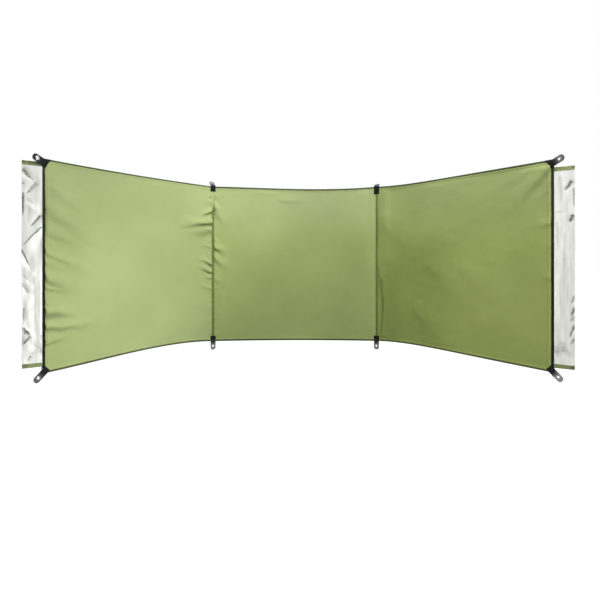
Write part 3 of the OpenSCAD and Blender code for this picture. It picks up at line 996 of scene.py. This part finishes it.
class TabPath:
    """A strip of webbing: its middle line, the way it runs, and the way it faces.

    It is sewn on up to start, and its free part runs on from there, bent or straight. Fold is the
    slope of the cloth on both sides of a seam, which the sewn part follows.
    """

    BEND_R = 0.006

    def __init__(self, start, run, facing, sewn, free, bend=None, fold=0.0):
        self.start, self.run, self.facing = start, unit(run), unit(facing)
        self.across = unit(np.cross(self.run, self.facing))
        self.sewn, self.free, self.fold = sewn, free, fold
        self.bent_run, self.bent_facing = map(unit, bend or (self.run, self.facing))

    def at(self, p, q, h):
        """The point p along the strip, q across it and h in front of its middle."""
        p, q, h = np.broadcast_arrays(p, q, h)
        radius = self.BEND_R
        t = np.clip((p + radius) / (2 * radius), 0, 1)[..., None]
        low = np.minimum(p, -radius)[..., None] * self.run
        curve = (-radius * (1 - t) ** 2) * self.run + radius * t**2 * self.bent_run
        high = np.maximum(p, radius)[..., None] * self.bent_run
        middle = np.where(p[..., None] < -radius, low, np.where(p[..., None] > radius, high, curve))
        facing = unit(self.facing * (1 - t) + self.bent_facing * t)
        sunk = self.fold * (TAB_HALF_W - np.abs(q)) * (1 - smooth(-0.006, 0.012, p))
        return self.start + middle + self.across * q[..., None] + facing * (h - sunk)[..., None]

    def eyelet_middle(self):
        return self.at(self.free - EYELET_INSET, 0.0, 0.0)

    def eyelet_facing(self):
        return unit(self.at(self.free, 0.0, 1.0) - self.at(self.free, 0.0, 0.0))


def tab_path(side, place, level):
    if place == "end":
        angle = CORNER_TAB_ANGLE[level]
        start = at_end(side, 0.0, -CORNER_LIFT - TAB_T / 2 - 0.0012, CORNER_TAB_Z[level])
        run = direction(at_end, side, math.cos(angle), 0.0, math.sin(angle))
        return TabPath(start, run, front_of(at_end, side), CORNER_TAB_L - CORNER_TAB_FREE, CORNER_TAB_FREE)
    facing = front_of(at_seam, side)
    back = SEAM_LIFT + TAB_T / 2
    fold = math.tan(SEAM_FOLD)
    if level == "bottom":
        start = at_seam(side, 0.0, -back, CLOTH_LOW)
        run = np.array([0.0, 0.0, -1.0])
        return TabPath(start, run, facing, TAB_L - FOOT_TAB_FREE, FOOT_TAB_FREE, fold=fold)
    lean, free = HEAD_TAB_LEAN[side], HEAD_TAB_FREE[side]
    start = at_seam(side, 0.0, -back, CLOTH_HIGH + TAB_T)
    run = np.array([0.0, 0.0, 1.0])
    bend = (direction(at_seam, side, 0.0, math.sin(lean), math.cos(lean)),
            direction(at_seam, side, 0.0, -math.cos(lean), math.sin(lean)))
    return TabPath(start, run, facing, TAB_L - free, free, bend, fold)


def cut_hole(piece, middle, axis, radius):
    """Cuts a round hole through a piece."""
    bpy.ops.mesh.primitive_cylinder_add(vertices=40, radius=radius, depth=0.02)
    cutter = bpy.context.object
    cutter.rotation_mode = "QUATERNION"
    cutter.rotation_quaternion = Vector(axis.tolist()).to_track_quat("Z", "Y")
    cutter.location = middle.tolist()
    change = piece.modifiers.new("hole", "BOOLEAN")
    change.operation = "DIFFERENCE"
    change.object = cutter
    change.solver = "EXACT"
    bpy.context.view_layer.update()
    evaluated = piece.evaluated_get(bpy.context.evaluated_depsgraph_get())
    mesh = bpy.data.meshes.new_from_object(evaluated)
    piece.modifiers.clear()
    piece.data = mesh
    bpy.data.objects.remove(cutter)


def tab(side, place, level):
    """Webbing with rounded selvedges, soft ribs and a rounded, heat-cut end."""
    path = tab_path(side, place, level)
    # Rows of points where the tab is straight, round its end, and where the end thins
    straight_rows, round_rows, thin_rows = 44, 16, 8
    straight = path.free - TAB_HALF_W
    turn = np.linspace(0, math.radians(86), round_rows)
    p = np.concatenate([np.linspace(-path.sewn, straight, straight_rows, endpoint=False),
                        straight + TAB_HALF_W * np.sin(turn)])
    half = TAB_HALF_W * np.concatenate([np.ones(straight_rows), np.cos(turn) ** 0.72])
    p, share = np.meshgrid(p, np.linspace(-1, 1, 37), indexing="ij")
    q = share * half[:, None]
    round_edge = np.sqrt(np.clip(1 - share**8, 0, 1))
    thin_end = np.concatenate([np.ones(len(half) - thin_rows), np.sqrt(np.linspace(1, 0.15, thin_rows))])
    ribs = 0.00010 * np.cos(2 * math.pi * q / 0.0032)
    name = f"{side}_{place}_{level}"
    seed = 100 + list(LIGHTER_END).index(name)
    # The webbing is flat where the eyelet is pressed round it
    sag = 0.0005 * ripple(p, q, seed, 0.06) * (p < path.free - 0.045)
    thick = (TAB_T / 2 - 0.0001 + ribs) * round_edge * thin_end[:, None] + 0.0001
    piece = build_sheet(name + "_webbing", path.at(p, q, thick + sag), path.at(p, q, sag - thick), q, p,
                        [TAB_WEBBING[name]], slot="webbing_black", replaces=[name + "_tab"])
    cut_hole(piece, path.eyelet_middle(), path.eyelet_facing(), EYELET_R + 0.0008)
    low, high, wide = -path.sewn + 0.004, -0.005, TAB_HALF_W - 0.0045
    corners = [(low, -wide), (low, wide), (high, wide), (high, -wide), (low, -wide), (high, wide)]
    crossing = [(low, wide), (high, -wide)]
    for run in (corners, crossing):
        for corner, following in zip(run, run[1:]):
            seam_p, seam_q = np.linspace(corner, following, 16).T
            tab_stitches.row(path.at(seam_p, seam_q, TAB_T / 2), path.facing)


def eyelet(side, place, level):
    """A rolled metal ring pressed round the tab's hole."""
    path = tab_path(side, place, level)
    middle, facing, across = path.eyelet_middle(), path.eyelet_facing(), path.across
    up = np.cross(facing, across)
    lip = [(EYELET_R, 0.0), (EYELET_R, 0.0013), (EYELET_R + 0.0003, 0.0018), (EYELET_R + 0.0010, 0.0021),
           (EYELET_R + 0.0024, 0.0021), (EYELET_R + 0.0042, 0.0018), (EYELET_FLANGE_R - 0.0006, 0.0015),
           (EYELET_FLANGE_R, 0.0012), (EYELET_FLANGE_R - 0.0008, 0.0010), (EYELET_R + 0.0012, 0.0008)]
    profile = lip + [(r, -h) for r, h in reversed(lip[1:])]
    points = []
    for turn in np.linspace(0, 2 * math.pi, 48, endpoint=False):
        out = across * math.cos(turn) + up * math.sin(turn)
        points += [middle + out * r + facing * h for r, h in profile]
    columns = len(profile)
    # One row more than there are rings, which is the first ring again
    faces = [tuple(v % len(points) for v in face)
             for face in grid_faces(len(points) // columns + 1, columns, wrap=True)]
    name = f"{side}_{place}_{level}"
    build(name + "_ring", np.array(points), faces, None, [NICKEL],
          slot="eyelet_nickel", replaces=[name + "_eyelet"])


# ---- Pole pockets


def pocket(side, place):
    """The sewn cloth sleeve that holds a pole behind the cloth."""
    seam = place == "seam"
    at = at_seam if seam else at_end
    middle_x = 0.0 if seam else -END_POLE_INSET
    fold = SEAM_FOLD if seam else 0.0
    low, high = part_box(f"{side}_{place}_pole")
    pole = at(side, middle_x, 0.0, 0.0)
    centre = np.array([(low.x + high.x) / 2, (low.y + high.y) / 2])
    back = float(np.linalg.norm(centre - pole[:2]))
    outer_r = POLE_R + 0.0019
    z = np.linspace(POCKET_LOW, POCKET_HIGH, 190)
    # The cross-section from one sewn foot over the pole to the other
    start = math.radians(28)
    turns = np.linspace(-start, math.pi + start, 22)
    ring = [(outer_r * math.cos(t), back + outer_r * math.sin(t)) for t in turns]
    cloth_back = CLOTH_T + 0.0006
    flat = 0.030 if seam else 0.0115
    right_foot = [(s, cloth_back - s * math.tan(fold)) for s in np.linspace(flat, outer_r * 1.06, 5)]
    left_foot = [(-s, y) for s, y in reversed(right_foot)]
    outline = np.array(right_foot + ring + left_foot)
    x, level = np.meshgrid(outline[:, 0], z)
    y = np.broadcast_to(outline[:, 1], level.shape)
    over = np.clip((y - cloth_back - 0.002) / outer_r, 0, 1)
    along = np.broadcast_to(np.arange(len(outline)) * 0.0022, level.shape)
    gather = 0.0011 * ripple(along * 0.5, level, 110 + SIDES[side] + 3 * seam, 0.045)
    gather = gather + 0.0005 * ripple(along, level, 120 + SIDES[side] + 3 * seam, 0.018)
    swell = 1 + (gather + 0.0006) / outer_r * over
    x2 = middle_x + x * swell
    y2 = back + (y - back) * swell
    outside = at(side, x2, y2, level)
    inward = unit(np.stack([x, y - back], axis=-1)) * 0.0008
    inside = at(side, x2 - inward[..., 0] * (over > 0),
                y2 - inward[..., 1] * (over > 0) - 0.0006 * (over == 0), level)
    name = f"{side}_{place}"
    build_sheet(name + "_pocket", outside, inside, along, level, [LINING],
                slot="cloth_silver", replaces=[name + "_sleeve"])
    line = np.linspace(POCKET_LOW + 0.004, POCKET_HIGH - 0.004, 240)
    s = outer_r * (1.35 if seam else 1.12)
    for sign in (-1, 1):
        pocket_stitches.row(at(side, middle_x + sign * s, cloth_back - s * math.tan(fold), line),
                          -front_of(at, side))


# ---- Everything

for bay in BAYS:
    top, bottom = binding(bay, "top"), binding(bay, "bottom")
    cloth = bay_cloth(bay)

for side in SIDES:
    end_tape(side)
    seam_fell(side)
    corner_patches(side)
    flap(side)
for side, place in itertools.product(SIDES, ("end", "seam")):
    pocket(side, place)
    for level in ("top", "bottom"):
        tab(side, place, level)
        eyelet(side, place, level)
    for part in ("pole", "spike"):
        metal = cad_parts[f"{side}_{place}_{part}"]
        metal.data.materials.clear()
        metal.data.materials.append(STEEL[part])

for stitches in (cloth_stitches, tape_stitches, tab_stitches, pocket_stitches):
    stitches.finish()

# ---- Stage

WHITE = (1, 1, 1, 1)
FLOOR_GREY = (0.3, 0.3, 0.3, 1)
FLOOR_SIZE = 40.0
FLOOR_LIFT = 0.93
AMBIENT = 0.35


def seen_directly(nodes):
    """1 where a camera, mirror or glass ray looks, and 0 for the light on the object."""
    rays = nodes.node("ShaderNodeLightPath").outputs
    seen = nodes.maths("MAXIMUM", rays["Is Camera Ray"], rays["Is Glossy Ray"])
    return nodes.maths("MAXIMUM", seen, rays["Is Transmission Ray"])


def make_floor():
    """A grey floor that takes the object's shadow, lifted to white where it is seen."""
    bpy.ops.mesh.primitive_plane_add(size=FLOOR_SIZE)
    floor = bpy.context.object
    floor.name = "floor"
    material = bpy.data.materials.new("floor")
    nodes = Nodes(material)
    nodes.tree.nodes.clear()
    diffuse = nodes.node("ShaderNodeBsdfDiffuse", {"Color": FLOOR_GREY}).outputs["BSDF"]
    lift = nodes.maths("MULTIPLY", seen_directly(nodes), FLOOR_LIFT)
    glow = nodes.node("ShaderNodeEmission", {"Strength": lift}).outputs["Emission"]
    both = nodes.node("ShaderNodeAddShader", {0: diffuse, 1: glow}).outputs["Shader"]
    nodes.node("ShaderNodeOutputMaterial", {"Surface": both})
    floor.data.materials.append(material)


def make_world():
    """A white surround, whose light on the object is dimmed."""
    world = bpy.data.worlds.new("studio")
    bpy.context.scene.world = world
    nodes = Nodes(world)
    nodes.tree.nodes.clear()
    dim, full = [nodes.node("ShaderNodeBackground", {"Color": WHITE, "Strength": strength}).outputs[0]
                 for strength in (AMBIENT, 1.0)]
    mix = nodes.node("ShaderNodeMixShader", {0: seen_directly(nodes), 1: dim, 2: full})
    nodes.node("ShaderNodeOutputWorld", {"Surface": mix.outputs["Shader"]})


def lamp(data, place, target, watts):
    data.energy = watts
    light = bpy.data.objects.new(data.name, data)
    light.location = place
    aim = Vector(target) - Vector(place)
    light.rotation_mode = "QUATERNION"
    light.rotation_quaternion = aim.to_track_quat("-Z", "Y")
    bpy.context.scene.collection.objects.link(light)


def area_light(name, place, target, size, watts):
    data = bpy.data.lights.new(name, "AREA")
    data.shape = "DISK"
    data.size = size
    lamp(data, place, target, watts)


def spot_light(name, place, target, degrees, watts):
    data = bpy.data.lights.new(name, "SPOT")
    data.spot_size = math.radians(degrees)
    data.spot_blend = 1.0
    data.shadow_soft_size = 0.15
    lamp(data, place, target, watts)


make_floor()
make_world()
# The three spots light parts of the left and right bays as in the photo
area_light("side", (4.6, -1.4, 0.8), (-0.5, 0, 0.5), 1.4, 62)
area_light("top", (1.2, -1.4, 2.6), (-0.4, 0.2, 0.6), 1.4, 43)
area_light("overhead", (0.3, -0.6, 2.3), (-0.3, 0.4, 0.8), 1.0, 11)
spot_light("left_foot", (1.2, -2.2, 0.2), (-1.05, -0.05, 0.25), 34, 125)
spot_light("left_seam", (-0.3, -2.0, 2.4), (-0.5, 0.49, 1.05), 24, 104)
spot_light("right_end", (-1.4, -2.4, 0.5), (1.36, -0.40, 0.45), 30, 38)
# This one lights the back only
area_light("rear", (-1.5, 4.5, 3.0), (0, 0, 0.6), 2.5, 100)
